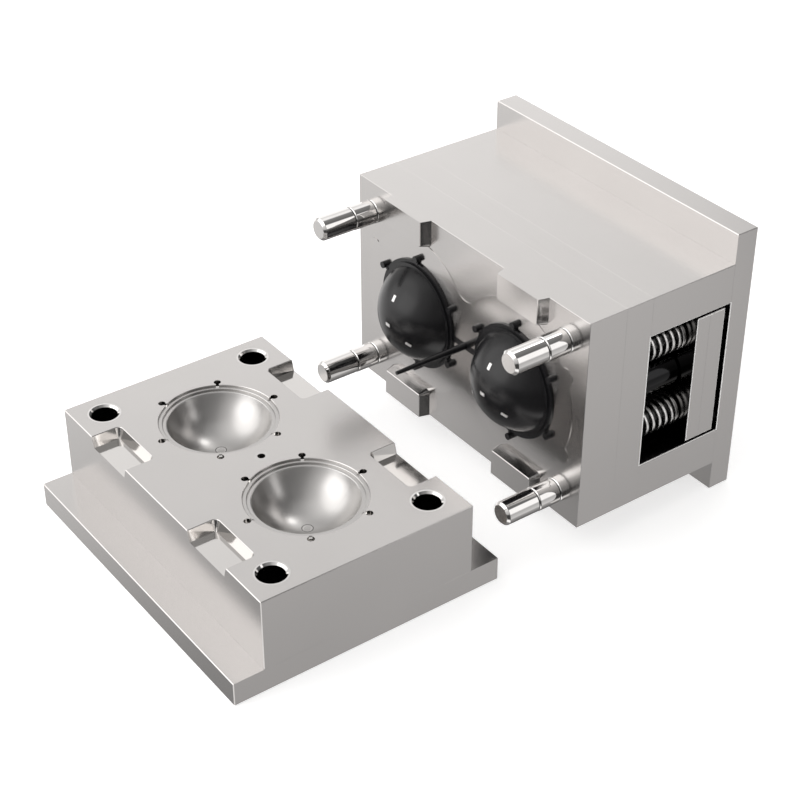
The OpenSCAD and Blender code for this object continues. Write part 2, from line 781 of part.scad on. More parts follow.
module support_plate() color(plate_grey) in_core_half() difference() {
    ground_plate(body_w, body_l, space_z, support_z,
        seam_break, seam_break, seam_break, seam_break);
    at([for (y = dome_places) [0, y]]) {
        bar(well_r, space_z - cut, support_z + cut);
        bar(well_r + plug_rim, space_z - cut, well_foot_z);
        translate([0, 0, support_z - 2 * seal_cord_r]) difference() {
            bar(seal_r + seal_groove_w / 2, 0, 2 * seal_cord_r + cut);
            bar(seal_r - seal_groove_w / 2, -cut, 2 * seal_cord_r + 2 * cut);
        }
    }
    bar(puller_r + clear_gap, space_z - cut, support_z + cut);
    at(pin_places) bar(pin_r + clear_gap, space_z - cut, support_z + cut);
    at(return_places) {
        bar(return_r + clear_gap, space_z - cut, support_z + cut);
        bar(spring_r + spring_gap, space_z - cut, space_z + spring_pocket);
    }
    at(corners(spacer_x, core_screw_y))
        bar(main_screw / 2 + clear_gap, space_z - cut, support_z + cut);
    at(corners(spacer_x, dowel_y)) bar(dowel_r, space_z - cut, space_z + dowel_reach);
    translate([0, 0, core_channel_z]) {
        for (x = [core_feed_x, -core_return_x]) translate([x, 0, 0])
            nipple_hole(-core_cross_y);
        translate([0, -core_cross_y, 0]) {
            bar_x(channel_r, -body_w / 2, core_feed_x);
            bar_x(nipple_thread_r, -body_w / 2 - cut, -body_w / 2 + plug_sink + plug_l);
        }
    }
}

// One spacer block; side is 1 for the upper and -1 for the lower
module spacer_block(side) {
    difference() {
        translate([side * spacer_x, 0, 0]) ground_plate(spacer_w, body_l, clamp_z, space_z,
            seam_break, seam_break, seam_break, seam_break);
        at([for (y = [-1, 1]) [side * spacer_x, y * core_screw_y]])
            bar(main_screw / 2 + clear_gap, clamp_z - cut, space_z + cut);
        at([for (y = [-1, 1]) [side * spacer_x, y * dowel_y]])
            bar(dowel_r, clamp_z - cut, space_z + cut);
        at([for (y = [-1, 1]) [side * spacer_x, y * spacer_screw_y]])
            bar(small_screw / 2, clamp_z - cut, clamp_z + spacer_screw_reach);
    }
}
module upper_spacer_block() color(plate_grey) in_core_half() spacer_block(1);
module lower_spacer_block() color(plate_grey) in_core_half() spacer_block(-1);

module core_clamp_plate() color(plate_grey) in_core_half() difference() {
    ground_plate(clamp_w, body_l, back_z, clamp_z,
        edge_break, edge_break, edge_break, seam_break);
    translate([0, 0, back_z]) {
        bar(knock_out_r, -cut, clamp_t + cut);
        at(corners(spacer_x, core_screw_y)) screw_hole(main_screw, clamp_t + cut, 0);
        at(corners(spacer_x, spacer_screw_y)) screw_hole(small_screw, clamp_t + cut, 0);
        at([for (y = pillar_places) [0, y]]) screw_hole(small_screw, clamp_t + cut, 0);
        at(corners(spacer_x, dowel_y)) bar(dowel_r, clamp_t - dowel_reach, clamp_t + cut);
        at(stop_places) bar(stop_r / 2, clamp_t - stop_shank - thread_spare, clamp_t + cut);
    }
}

module guide_pins() color(pin_grey) in_core_half() at(guide_places) difference() {
    union() {
        bar(guide_r, support_z, guide_reach - guide_tip);
        translate([0, 0, guide_reach - guide_tip])
            cylinder(r1 = guide_r, r2 = guide_r - guide_tip, h = guide_tip);
        bar(guide_r + guide_head_rim, support_z, support_z + guide_head_t);
    }
    for (z = groove_heights) translate([0, 0, z - groove_w / 2]) difference() {
        cylinder(r = guide_r + cut, h = groove_w);
        translate([0, 0, -cut]) cylinder(r = guide_r - groove_depth, h = groove_w + 2 * cut);
    }
}

module core_frame_screws() color(screw_black) in_core_half()
    at(corners(spacer_x, core_screw_y)) translate([0, 0, back_z + recess_h(main_screw)])
        socket_screw(main_screw,
            support_z + core_screw_reach - thread_spare - back_z - recess_h(main_screw));

module spacer_screws() color(screw_black) in_core_half()
    at(corners(spacer_x, spacer_screw_y)) translate([0, 0, back_z + recess_h(small_screw)])
        socket_screw(small_screw,
            clamp_t - recess_h(small_screw) + spacer_screw_reach - thread_spare);

module spacer_dowels() color(pin_grey) in_core_half()
    at(corners(spacer_x, dowel_y))
        bar(dowel_r - press_gap, clamp_z - dowel_reach, space_z + dowel_reach);

module support_pillars() color(pin_grey) in_core_half()
    at([for (y = pillar_places) [0, y]]) difference() {
        bar(pillar_r, clamp_z, space_z);
        bar(small_screw / 2, clamp_z - cut, clamp_z + spacer_screw_reach);
    }

module pillar_screws() color(screw_black) in_core_half()
    at([for (y = pillar_places) [0, y]]) translate([0, 0, back_z + recess_h(small_screw)])
        socket_screw(small_screw,
            clamp_t - recess_h(small_screw) + spacer_screw_reach - thread_spare);

module stop_buttons() color(pin_grey) in_core_half() at(stop_places) {
    bar(stop_r, clamp_z, base_back_z);
    bar(stop_r / 2 - press_gap, clamp_z - stop_shank, clamp_z);
}

module core_hose_nipples() color(brass_yellow) in_core_half()
    for (x = [core_feed_x, -core_return_x])
        translate([x, body_l / 2 - nipple_recess - nipple_thread_l, core_channel_z])
            hose_nipple();

module core_channel_plug() color(brass_yellow) in_core_half()
    translate([-body_w / 2 + plug_sink, -core_cross_y, core_channel_z])
        mirror([1, 0, 0]) channel_plug();

module ejector_retainer_plate() color(plate_grey) in_core_half() difference() {
    ground_plate(ejector_w, body_l, base_front_z, retainer_front_z,
        seam_break, edge_break, seam_break, edge_break);
    translate([0, 0, base_front_z]) {
        at(pin_places) {
            bar(pin_r + clear_gap, -cut, retainer_t + cut);
            bar(pin_head_r + clear_gap, -cut, pin_head_t);
        }
        at(return_places) {
            bar(return_r + clear_gap / 2, -cut, retainer_t + cut);
            bar(return_head_r + clear_gap, -cut, return_head_t);
        }
        bar(puller_r + clear_gap, -cut, retainer_t + cut);
        bar(puller_head_r + clear_gap, -cut, pin_head_t);
        at([for (y = pillar_places) [0, y]])
            bar(pillar_r + pillar_gap, -cut, retainer_t + cut);
        at(ejector_screw_places) bar(ejector_screw / 2, -cut, ejector_screw_reach);
    }
}

module ejector_base_plate() color(plate_grey) in_core_half() difference() {
    ground_plate(ejector_w, body_l, base_back_z, base_front_z,
        edge_break, seam_break, edge_break, seam_break);
    translate([0, 0, base_back_z]) {
        at([for (y = pillar_places) [0, y]])
            bar(pillar_r + pillar_gap, -cut, base_t + cut);
        at(ejector_screw_places) screw_hole(ejector_screw, base_t + cut, 0);
        bar(rod_thread_r, -cut, rod_thread_depth);
    }
}

module ejector_plate_screws() color(screw_black) in_core_half()
    at(ejector_screw_places) translate([0, 0, base_back_z + recess_h(ejector_screw)])
        socket_screw(ejector_screw,
            base_t - recess_h(ejector_screw) + ejector_screw_reach - thread_spare);

module return_pins() color(pin_grey) in_core_half() at(return_places) {
    bar(return_r, base_front_z, 0);
    bar(return_head_r, base_front_z, base_front_z + return_head_t);
}

module ejector_pins() color(pin_grey) in_core_half() at(pin_places) {
    bar(pin_r, base_front_z, 0);
    bar(pin_head_r, base_front_z, base_front_z + pin_head_t);
}

module sprue_puller() color(pin_grey) in_core_half() {
    bar(puller_r, base_front_z, -slug_h);
    bar(puller_head_r, base_front_z, base_front_z + pin_head_t);
}

// Return spring: flat wire with one closed turn at each end
spring_foot = retainer_front_z + spring_wire_h / 2;
spring_top = space_z + spring_pocket - spring_wire_h / 2;
closed_rise = spring_wire_h + slide_gap;
open_rise = spring_top - spring_foot - 2 * closed_rise;
open_turns = open_rise / spring_pitch;
turn_steps = 12;
spring_steps = floor((open_turns + 2) * turn_steps);
function spring_z(turn) = turn < 1 ? spring_foot + turn * closed_rise
    : turn < 1 + open_turns ? spring_foot + closed_rise + (turn - 1) * spring_pitch
    : spring_top - (open_turns + 2 - turn) * closed_rise;
function wire_ring(i) = let (turn = i * (open_turns + 2) / spring_steps, a = turn * 360,
    z = spring_z(turn), h = spring_wire_h / 2, r0 = spring_r - spring_wire_t, r1 = spring_r)
    [for (p = [[r0, -h], [r1, -h], [r1, h], [r0, h]]) [p[0] * cos(a), p[0] * sin(a), z + p[1]]];

module one_spring() {
    points = [for (i = [0:spring_steps]) each wire_ring(i)];
    sides = [for (i = [0:spring_steps - 1], k = [0:3])
        [4 * i + k, 4 * i + (k + 1) % 4, 4 * i + 4 + (k + 1) % 4, 4 * i + 4 + k]];
    last = 4 * spring_steps;
    polyhedron(points, concat(sides, [[3, 2, 1, 0]], [[last, last + 1, last + 2, last + 3]]),
        convexity = 10);
}
module return_springs() color([0.75, 0.76, 0.78]) in_core_half()
    at(return_places) one_spring();

module moulded_shot() color(shot_black) in_core_half() union() {
    at([for (y = dome_places) [0, y]]) difference() {
        moulding_form(0);
        intersection() {
            bar(dome_bore_r, -cut, dome_h);
            union() {
                translate([0, 0, shell_z]) sphere(r = inner_r);
                bar(dome_bore_r, -cut, rim_t);
            }
        }
        translate([0, 0, -cut]) linear_extrude(dome_h + 2 * cut) slot_plan(0);
    }
    runner_bar(0);
    bar(sprue_base_r, -slug_h, 0);
    cylinder(r1 = sprue_base_r, r2 = sprue_tip_r, h = cavity_stack - nozzle_depth);
}

cavity_clamp_plate();
cavity_plate();
guide_bushes();
sprue_bushing();
locating_ring();
locating_ring_screws();
cavity_plate_screws();
vent_pins();
cavity_hose_nipples();
cavity_channel_plug();
core_plate();
core_inserts();
insert_seals();
insert_baffles();
support_plate();
upper_spacer_block();
lower_spacer_block();
core_clamp_plate();
guide_pins();
core_frame_screws();
spacer_screws();
spacer_dowels();
support_pillars();
pillar_screws();
stop_buttons();
core_hose_nipples();
core_channel_plug();
ejector_retainer_plate();
ejector_base_plate();
ejector_plate_screws();
return_pins();
ejector_pins();
sprue_puller();
return_springs();
moulded_shot();
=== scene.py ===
import math

import bmesh
import bpy
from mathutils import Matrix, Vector


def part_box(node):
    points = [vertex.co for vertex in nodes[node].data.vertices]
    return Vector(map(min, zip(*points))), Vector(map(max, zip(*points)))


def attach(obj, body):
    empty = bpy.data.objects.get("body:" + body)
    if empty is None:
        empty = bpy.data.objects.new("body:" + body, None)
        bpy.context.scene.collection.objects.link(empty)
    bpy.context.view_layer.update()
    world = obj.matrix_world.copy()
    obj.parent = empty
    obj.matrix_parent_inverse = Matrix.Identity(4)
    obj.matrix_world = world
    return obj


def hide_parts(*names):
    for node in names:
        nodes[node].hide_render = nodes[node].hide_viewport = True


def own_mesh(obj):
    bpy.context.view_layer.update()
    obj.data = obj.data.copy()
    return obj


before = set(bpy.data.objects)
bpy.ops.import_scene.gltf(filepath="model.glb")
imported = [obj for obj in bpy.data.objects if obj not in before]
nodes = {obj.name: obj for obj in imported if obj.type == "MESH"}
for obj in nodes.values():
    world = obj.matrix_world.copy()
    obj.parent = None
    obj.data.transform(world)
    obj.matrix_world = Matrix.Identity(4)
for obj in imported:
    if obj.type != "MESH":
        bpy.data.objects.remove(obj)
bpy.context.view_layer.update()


# Camera
# The mould is seen from above and from the near left corner of the cavity half, through a
# long lens, so that both parting faces show.
camera_data = bpy.data.cameras.new("studio_camera")
camera_data.lens = 82.75
camera_data.sensor_width = 36.0
camera = bpy.data.objects.new("studio_camera", camera_data)
bpy.context.scene.collection.objects.link(camera)
camera.location = (-0.56577, -0.95011, 0.88248)
camera.rotation_euler = (math.radians(55.656), 0.0, math.radians(-36.101))
bpy.context.scene.camera = camera
bpy.context.scene.view_settings.view_transform = "Standard"


# Studio walls and lamps
# Large softboxes stand round the mould, with dark cloth between them. Bright steel shows them
# as broad bands, so the walls are painted by direction and two lamps lift the top faces.
class Socket:
    """A shader value that takes Python arithmetic and adds its Math nodes."""

    def __init__(self, shader, link):
        self.shader = shader
        self.link = link

    def math(self, operation, *others):
        return self.shader.node("ShaderNodeMath", {"operation": operation}, (self, *others))[0]

    def __add__(self, other):
        return self.math("ADD", other)

    def __mul__(self, other):
        return self.math("MULTIPLY", other)

    def __sub__(self, other):
        return self.math("SUBTRACT", other)

    def __rsub__(self, other):
        return self.shader.node("ShaderNodeMath", {"operation": "SUBTRACT"}, (other, self))[0]

    def distance(self, other):
        """Length of a right triangle's long side."""
        return (self * self + other * other).math("SQRT")

    def clamp(self):
        return self.shader.node("ShaderNodeClamp", {}, (self,))[0]


class Shader:
    """A material's node tree, or the world's."""

    def __init__(self, owner):
        owner.use_nodes = True
        self.tree = owner.node_tree
        self.tree.nodes.clear()

    def node(self, kind, settings, values, ramp=()):
        """Adds a node; values go by position, socket name or number. Returns its outputs."""
        made = self.tree.nodes.new(kind)
        for name, value in settings.items():
            setattr(made, name, value)
        if ramp:
            stops = made.color_ramp.elements
            while len(stops) < len(ramp):
                stops.new(0.5)
            for stop, (place, colour) in zip(stops, ramp):
                stop.position = place
                stop.color = (*colour, 1.0)
        pairs = values.items() if isinstance(values, dict) else enumerate(values)
        for name, value in pairs:
            if isinstance(value, Socket):
                self.tree.links.new(value.link, made.inputs[name])
            else:
                made.inputs[name].default_value = value
        return [Socket(self, output) for output in made.outputs]

    def mix(self, factor, low, high):
        """Colour between two colours, by a factor."""
        return self.node("ShaderNodeMix", {"data_type": "RGBA"}, {0: factor, 6: low, 7: high})[2]

    def place(self):
        """Object coordinates in metres, as a vector and as x, y and z."""
        vector = self.node("ShaderNodeTexCoord", {}, ())[3]
        return vector, *self.node("ShaderNodeSeparateXYZ", {}, (vector,))

    def noise(self, vector, waves, detail=2.0, roughness=0.6):
        """Noise with a number of waves in a metre."""
        return self.node("ShaderNodeTexNoise", {}, {
            "Vector": vector, "Scale": waves, "Detail": detail, "Roughness": roughness})[0]

    def stretched(self, vector, scale):
        """Coordinates scaled by axis, for lines that run one way."""
        return self.node("ShaderNodeMapping", {}, {"Vector": vector, "Scale": scale})[0]

    def bump(self, height, strength):
        """Normal of a surface whose relief is a hundredth of a millimetre."""
        return self.node("ShaderNodeBump", {}, {
            "Strength": strength, "Distance": 0.00001, "Height": height})[0]

    def surface(self, values):
        """Adds the main shader and the output."""
        main = self.node("ShaderNodeBsdfPrincipled", {}, values)[0]
        self.node("ShaderNodeOutputMaterial", {}, (main,))


world = bpy.data.worlds.new("studio_walls")
bpy.context.scene.world = world
walls = Shader(world)
direction = walls.node("ShaderNodeTexCoord", {}, ())[0]
toward = walls.node("ShaderNodeSeparateXYZ", {}, (direction,))
turn = toward[2].math("ARCTAN2", toward[1]) * (0.5 / math.pi) + 0.5


def wall_ramp(place, stops):
    """Warm white wall colour by a place from 0 to 1."""
    return walls.node("ShaderNodeValToRGB", {}, (place,), ramp=[
        (at, (grey, grey * 0.985, grey * 0.975)) for at, grey in stops])[0]


def softboxes(bands):
    """Wall as brightness bands; each stop is degrees from +Y over the top, and a grey."""
    return wall_ramp(turn, [(0.5 + degrees / 360.0, grey) for degrees, grey in bands])


def cosine_to(aim):
    """Cosine of the angle between a direction and an aim."""
    return walls.node("ShaderNodeVectorMath", {"operation": "DOT_PRODUCT"}, (
        direction, Vector(aim).normalized()))[1]


def fade(value, start, end):
    """0 at one value and 1 at another, straight between them."""
    return ((value - start) * (1 / (end - start))).clamp()


# Behind the core half the wall is banded. On the cavity half's side it is banded below the
# horizon, and one big softbox fades out above it. Each change runs over a short stretch.
horizon = (-0.0625, 0.0625)
core_wall = (0.1167, 0.2833)
softbox_aim = (-0.78, 0.42, 0.46)
core_side = softboxes((
    (-180, 0.20), (-160, 0.48), (-140, 0.56), (-133, 0.35), (-110, 0.20), (-60, 0.05),
    (-33, 0.06), (-26, 0.95), (25, 0.95), (33, 0.80), (45, 0.62), (60, 0.50), (80, 0.33),
    (95, 0.20), (120, 0.12), (165, 0.10), (180, 0.20)))
cavity_low = softboxes((
    (-180, 0.05), (-134, 0.05), (-124, 0.95), (-112, 0.95), (-100, 0.20), (-62, 0.18),
    (-46, 0.22), (-43, 0.32), (-40, 0.48), (-35, 0.63), (-20, 0.90), (90, 0.95), (180, 0.15)))
big_softbox = wall_ramp(cosine_to(softbox_aim) * 0.5 + 0.5, (
    (0.30, 0.14), (0.55, 0.20), (0.64, 0.23), (0.73, 0.40), (0.80, 0.50), (0.84, 0.56),
    (0.89, 0.72), (0.91, 1.02), (0.93, 1.33), (1.0, 1.40)))
cavity_side = walls.mix(fade(toward[2], *horizon), cavity_low, big_softbox)
shade = walls.mix(fade(toward[0], *core_wall), cavity_side, core_side)

# The guide pins lie along X, so they mirror one ring of directions round that axis. Strip
# lights in this ring draw the bright lines along them. Past it, at the far end, hangs
# black cloth.
strip_middle = 0.545
strip_edge = (0.11, 0.0767)
cloth_edge = (0.6583, 0.7417)
black_cloth = (0.08, 0.08, 0.08, 1.0)
strip_side = softboxes((
    (-180, 0.40), (-140, 0.56), (-133, 0.35), (-110, 0.20), (-60, 0.05), (-33, 0.06),
    (-26, 0.95), (25, 0.95), (33, 0.80), (45, 0.68), (55, 0.85), (72, 0.85), (84, 0.20),
    (126, 0.12), (133, 0.95), (170, 0.95), (180, 0.50)))
from_strip = (toward[0] - strip_middle).math("ABSOLUTE")
shade = walls.mix(fade(from_strip, *strip_edge), shade, strip_side)
shade = walls.mix(fade(toward[0], *cloth_edge), shade, black_cloth)

# A small lamp makes the hot spot at the foot of each bowl.
small_lamp = (3.5, 3.45, 3.4, 1.0)
lamp_aim = (0.61, 0.27, 0.745)
lamp_rim = (0.9925, 0.99838)
lamp_spot = fade(cosine_to(lamp_aim), *lamp_rim)
wall_power = 1.39
backdrop = walls.node("ShaderNodeBackground", {}, (
    walls.mix(lamp_spot, shade, small_lamp), wall_power))[0]
walls.node("ShaderNodeOutputWorld", {}, (backdrop,))


def soft_lamp(name, place, target, width, height, power):
    """Large rectangular softbox that faces a point."""
    lamp = bpy.data.lights.new(name, "AREA")
    lamp.shape = "RECTANGLE"
    lamp.size = width
    lamp.size_y = height
    lamp.energy = power
    box = bpy.data.objects.new(name, lamp)
    bpy.context.scene.collection.objects.link(box)
    box.location = place
    facing = Vector(target) - Vector(place)
    box.rotation_euler = facing.to_track_quat("-Z", "Y").to_euler()


mould_middle = (0.12, 0.0, 0.08)
soft_lamp("left_softbox", (-1.6, 0.3, 0.9), mould_middle, 1.4, 1.2, 2.5)
soft_lamp("top_softbox", (0.2, 0.2, 1.9), mould_middle, 1.6, 1.6, 1.5)


# Floor
# A sheet of matt white paper, lit a little from below so that it stays white round the mould.
# Steel does not mirror it; the walls stand for it there.
paper_half = 30.0
paper_drop = 0.0002
floor_mesh = bmesh.new()
bmesh.ops.create_grid(floor_mesh, x_segments=1, y_segments=1, size=paper_half)
bmesh.ops.translate(floor_mesh, vec=(0, 0, -paper_drop), verts=floor_mesh.verts)
floor_data = bpy.data.meshes.new("studio_floor")
floor_mesh.to_mesh(floor_data)
floor_mesh.free()
floor = bpy.data.objects.new("studio_floor", floor_data)
bpy.context.scene.collection.objects.link(floor)
paper = bpy.data.materials.new("white_paper")
paper_shader = Shader(paper)
paper_matt = paper_shader.node("ShaderNodeBsdfDiffuse", {}, {"Color": (0.9, 0.9, 0.9, 1)})[0]
paper_glow = paper_shader.node("ShaderNodeEmission", {}, {"Strength": 0.6})[0]
paper_lit = paper_shader.node("ShaderNodeAddShader", {}, (paper_matt, paper_glow))[0]
paper_shader.node("ShaderNodeOutputMaterial", {}, (paper_lit,))
floor_data.materials.append(paper)
floor.visible_glossy = False


# Ground plates
# Clamp plates, support plate and spacer blocks of carbon steel, surface-ground all over, which
# leaves a satin face with fine lines along the table's travel and a faint speckle. Inside the
# ejector space they are painted near black, as dark scale and as painted shade; the edges round
# it are broken with a stone, and a thin white painted highlight runs along them.
steel_tone = (0.63, 0.615, 0.605)
dark_skin_and_shade_black = (0.05, 0.05, 0.05, 1.0)
painted_highlight_white = (0.95, 0.94, 0.93, 1.0)
highlight_line_width = 0.0008
face_margin = 0.0003
line_waves = (900.0, 40.0, 900.0)
grain_waves = 1500.0
cloud_waves = 14.0
line_share = 0.3
grain_share = 0.4
cloud_share = 0.5
tone_drop = 0.1
darkest = 0.92
lightest = 1.05
grain_gloss = 0.06
cloud_gloss = 0.05
least_roughness = 0.17
ground_relief = 0.2


def new_finish(name):
    """A material and its shader, then object coordinates as a vector and as x, y and z."""
    finish = bpy.data.materials.new(name)
    shader = Shader(finish)
    return finish, shader, *shader.place()


def tinted(colour, share):
    """Paint of a colour made darker or lighter."""
    return (*[part * share for part in colour], 1.0)


def ground_face(shader, vector):
    """Colour, roughness and height of a ground steel face."""
    lines = shader.noise(shader.stretched(vector, line_waves), 1.0)
    grain = shader.noise(vector, grain_waves, detail=3.0, roughness=0.7)
    cloud = shader.noise(vector, cloud_waves, roughness=0.5)
    tone = lines * line_share + grain * grain_share + cloud * cloud_share - tone_drop
    paint = shader.mix(tone.clamp(), tinted(steel_tone, darkest), tinted(steel_tone, lightest))
    gloss = grain * grain_gloss + cloud * cloud_gloss + least_roughness
    return paint, gloss, lines + grain


def dress(node, material):
    """Gives a CAD node its material."""
    mesh = nodes[node].data
    mesh.materials.clear()
    mesh.materials.append(material)


def between(value, low, high):
    """1 where a value lies between two others, else 0."""
    return (value - (low + high) / 2).math("ABSOLUTE").math("LESS_THAN", (high - low) / 2)


def inside(place, low, high, margins):
    """1 inside a box that is grown by a margin along each axis, else 0."""
    share = 1
    for value, start, end, margin in zip(place, low, high, margins):
        share = between(value, start - margin, end + margin) * share
    return share


def painted_highlight_line(place, low, high, inwards, outwards):
    """1 in a thin painted highlight line round a rectangle, on the two short sides of the mould,
    else 0.
    """
    x, y, z = place
    past_x = (x - (low[0] + high[0]) / 2).math("ABSOLUTE") - (high[0] - low[0]) / 2
    past_z = (z - (low[2] + high[2]) / 2).math("ABSOLUTE") - (high[2] - low[2]) / 2
    deep = between(y, low[1] + face_margin, high[1] - face_margin)
    return between(past_x.math("MAXIMUM", past_z), -inwards, outwards) * (1 - deep)


upper_low, upper_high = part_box("upper_spacer_block")
space_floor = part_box("lower_spacer_block")[1][2]
space_low = (upper_low[0], upper_low[1], space_floor)
space_high = (upper_high[0], upper_high[1], upper_low[2])

plate_steel, shader, vector, *place = new_finish("ground_plate_steel")
paint, gloss, height = ground_face(shader, vector)
# Painted shade: inside the ejector space the plates are painted near black, as dark scale and as the
# shade that falls in there.
scale = inside(place, space_low, space_high, (face_margin, -face_margin, face_margin))
# Painted highlight: a thin white, non-metallic line round the ejector space's edges on the short
# sides.
edge = painted_highlight_line(place, space_low, space_high, face_margin, highlight_line_width)
shader.surface({
    "Base Color": shader.mix(edge, shader.mix(scale, paint, dark_skin_and_shade_black), painted_highlight_white),
    "Metallic": 1.0 - edge, "Roughness": gloss.clamp(),
    "Normal": shader.bump(height, ground_relief)})
for plate in ("cavity_clamp_plate", "support_plate", "upper_spacer_block",
              "lower_spacer_block", "core_clamp_plate"):
    dress(plate, plate_steel)


# Ejector plates
# Retainer and base plate of the ejector set, ground as the other plates and screwed together
# over the heads of the pins. The retainer's front face is painted darker and made glossier.
darker_front_grey = (0.25, 0.245, 0.24, 1.0)
front_gloss = 0.1
pack_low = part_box("ejector_retainer_plate")[0]
pack_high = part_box("ejector_base_plate")[1]

ejector_steel, shader, vector, *place = new_finish("ground_ejector_steel")
paint, gloss, height = ground_face(shader, vector)
# The retainer's front face is painted darker.
front = place[0].math("LESS_THAN", pack_low[0] + face_margin)
# Painted highlight: a thin white, non-metallic line round the ejector plates' outline on the short
# sides.
edge = painted_highlight_line(place, pack_low, pack_high, highlight_line_width, face_margin)
shader.surface({
    "Base Color": shader.mix(edge, shader.mix(front, paint, darker_front_grey), painted_highlight_white),
    "Metallic": 1.0 - edge, "Roughness": (gloss - front * front_gloss).clamp(),
    "Normal": shader.bump(height, ground_relief)})
for plate in ("ejector_retainer_plate", "ejector_base_plate"):
    dress(plate, ejector_steel)


# Cavity plate
# Tool steel, ground outside. The bowls are turned and then polished along the same rings, the
# pockets are finish-milled, and the tab recesses are spark-eroded and painted dark grey as
# painted shade. A fine gap shows as a dark line round the vent pin at the bottom of each bowl.
bowl_radius = 0.0464
bowl_pitch = 0.120
vent_radius = 0.004
vent_line = 0.0005
tab_ring_inner = 0.0497
tab_ring_outer = 0.0580
inner_margin = 0.0004
polish_paint = (0.55, 0.54, 0.53, 1.0)
milled_paint = (0.72, 0.705, 0.69, 1.0)
recess_shade_and_gap_grey = (0.10, 0.098, 0.095, 1.0)
eroded_roughness = 0.2
haze_waves = 260.0
haze_gloss = 0.05
bowl_roughness = 0.27
milled_roughness = 0.06
turning_waves = 2600.0
turning_relief = 2.0
worn_relief = 0.9
plate_low, plate_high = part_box("cavity_plate")


def rings(shader, distance, waves):
    """Fine turning rings: noise that varies with one distance only."""
    return shader.node("ShaderNodeTexNoise", {"noise_dimensions": "1D"}, {
        "W": distance * waves, "Scale": 1.0, "Detail": 3.0})[0]


cavity_steel, shader, vector, *place = new_finish("cavity_tool_steel")
paint, gloss, height = ground_face(shader, vector)
machined = inside(place, plate_low, plate_high, [-inner_margin] * 3)
from_axis = place[0].distance(place[1].math("ABSOLUTE") - bowl_pitch / 2)
in_bowl = from_axis.math("LESS_THAN", bowl_radius) * machined
tab_recess = between(from_axis, tab_ring_inner, tab_ring_outer) * machined
vent_gap = between(from_axis, vent_radius, vent_radius + vent_line) * machined
haze = shader.noise(vector, haze_waves, detail=3.0)
bowl_gloss = haze * haze_gloss + bowl_roughness
milled_gloss = haze * haze_gloss + milled_roughness
inner_gloss = (milled_gloss * (1 - in_bowl) + bowl_gloss * in_bowl
               + tab_recess * eroded_roughness)
inner_paint = shader.mix(in_bowl, shader.mix(machined, paint, milled_paint), polish_paint)
turned_rings = rings(shader, from_axis, turning_waves) * in_bowl
face_relief = height * (1 - machined * worn_relief)
# Painted shade: the tab recesses are painted dark grey; the vent pin's gap line takes the same grey.
shader.surface({
    "Base Color": shader.mix(tab_recess + vent_gap, inner_paint, recess_shade_and_gap_grey),
    "Metallic": 1.0, "Roughness": (gloss * (1 - machined) + inner_gloss * machined).clamp(),
    "Normal": shader.bump(face_relief + turned_rings * turning_relief, ground_relief)})
dress("cavity_plate", cavity_steel)


# Core plate
# Tool steel. Its parting face is ground finer than the sides, so it mirrors the pins and the
# mouldings near their feet. The four interlock blocks are milled in one piece with it.
face_x = 0.180
fine_gloss = 0.05
fine_smoothing = 0.5
core_steel, shader, vector, *place = new_finish("core_tool_steel")
paint, gloss, height = ground_face(shader, vector)
fine = place[0].math("LESS_THAN", face_x + inner_margin)
shader.surface({
    "Base Color": paint, "Metallic": 1.0, "Roughness": (gloss - fine * fine_gloss).clamp(),
    "Normal": shader.bump(height * (1 - fine * fine_smoothing), ground_relief)})
dress("core_plate", core_steel)


# Return pins and ejector pins
# Rods of nitrided steel with black shafts, held by their heads in the ejector plates. Their
# flush ends are ground bright together with the parting face.
pin_shaft, shader, vector, *place = new_finish("nitrided_pin_shaft")
paint, gloss, height = ground_face(shader, vector)
fine = place[0].math("LESS_THAN", face_x + inner_margin)
shader.surface({
    "Base Color": shader.mix(fine, dark_skin_and_shade_black, paint), "Metallic": 1.0,
    "Roughness": (gloss - fine * fine_gloss).clamp(),
    "Normal": shader.bump(height, ground_relief)})
for flush_pin in ("return_pins", "ejector_pins"):
    dress(flush_pin, pin_shaft)


# Guide pins
# Case-hardened steel, cylindrically ground to a mirror, pressed into the core plate up to the
# head. Each has a chamfered tip and two oil grooves with a lead-in behind them. One stands
# nearer the middle than its fellow, so that the halves close one way only.
speck_waves = 900.0
speck_gloss = 0.06
patch_waves = 120.0
patch_shade = 0.93
wheel_waves = 1800.0
wheel_gloss = 0.05
mirror_roughness = 0.03
ripple_waves = 3000.0
ripple_relief = 0.05
pin_patch_waves = 90.0
pin_dark = (0.70, 0.69, 0.68, 1.0)
pin_light = (0.78, 0.77, 0.76, 1.0)
merge_distance = 1e-6


def plain_finish(name, colour, metallic, roughness, relief=0.1, sheen_index=1.5):
    """Even finish with a faint speckle in its colour, gloss and relief."""
    finish, shader, vector = new_finish(name)[:3]
    speck = shader.noise(vector, speck_waves)
    patches = shader.noise(vector, patch_waves)
    shader.surface({
        "Base Color": shader.mix(patches, tinted(colour, patch_shade), tinted(colour, 1.0)),
        "Metallic": metallic, "IOR": sheen_index,
        "Roughness": (speck * speck_gloss + (roughness - speck_gloss / 2)).clamp(),
        "Normal": shader.bump(speck, relief)})
    return finish


def ground_round(name, axis):
    """Mirror-ground steel, with rings along axis 0, 1 or 2."""
    finish, shader, vector, *along = new_finish(name)
    wheel_marks = rings(shader, along[axis], wheel_waves)
    ripples = rings(shader, along[axis], ripple_waves)
    shader.surface({
        "Base Color": shader.mix(shader.noise(vector, pin_patch_waves), pin_dark, pin_light),
        "Metallic": 1.0, "Roughness": (wheel_marks * wheel_gloss + mirror_roughness).clamp(),
        "Normal": shader.bump(ripples, ripple_relief)})
    return finish


def once(items):
    """Each item once, in the order in which they first come."""
    return list(dict.fromkeys(items))


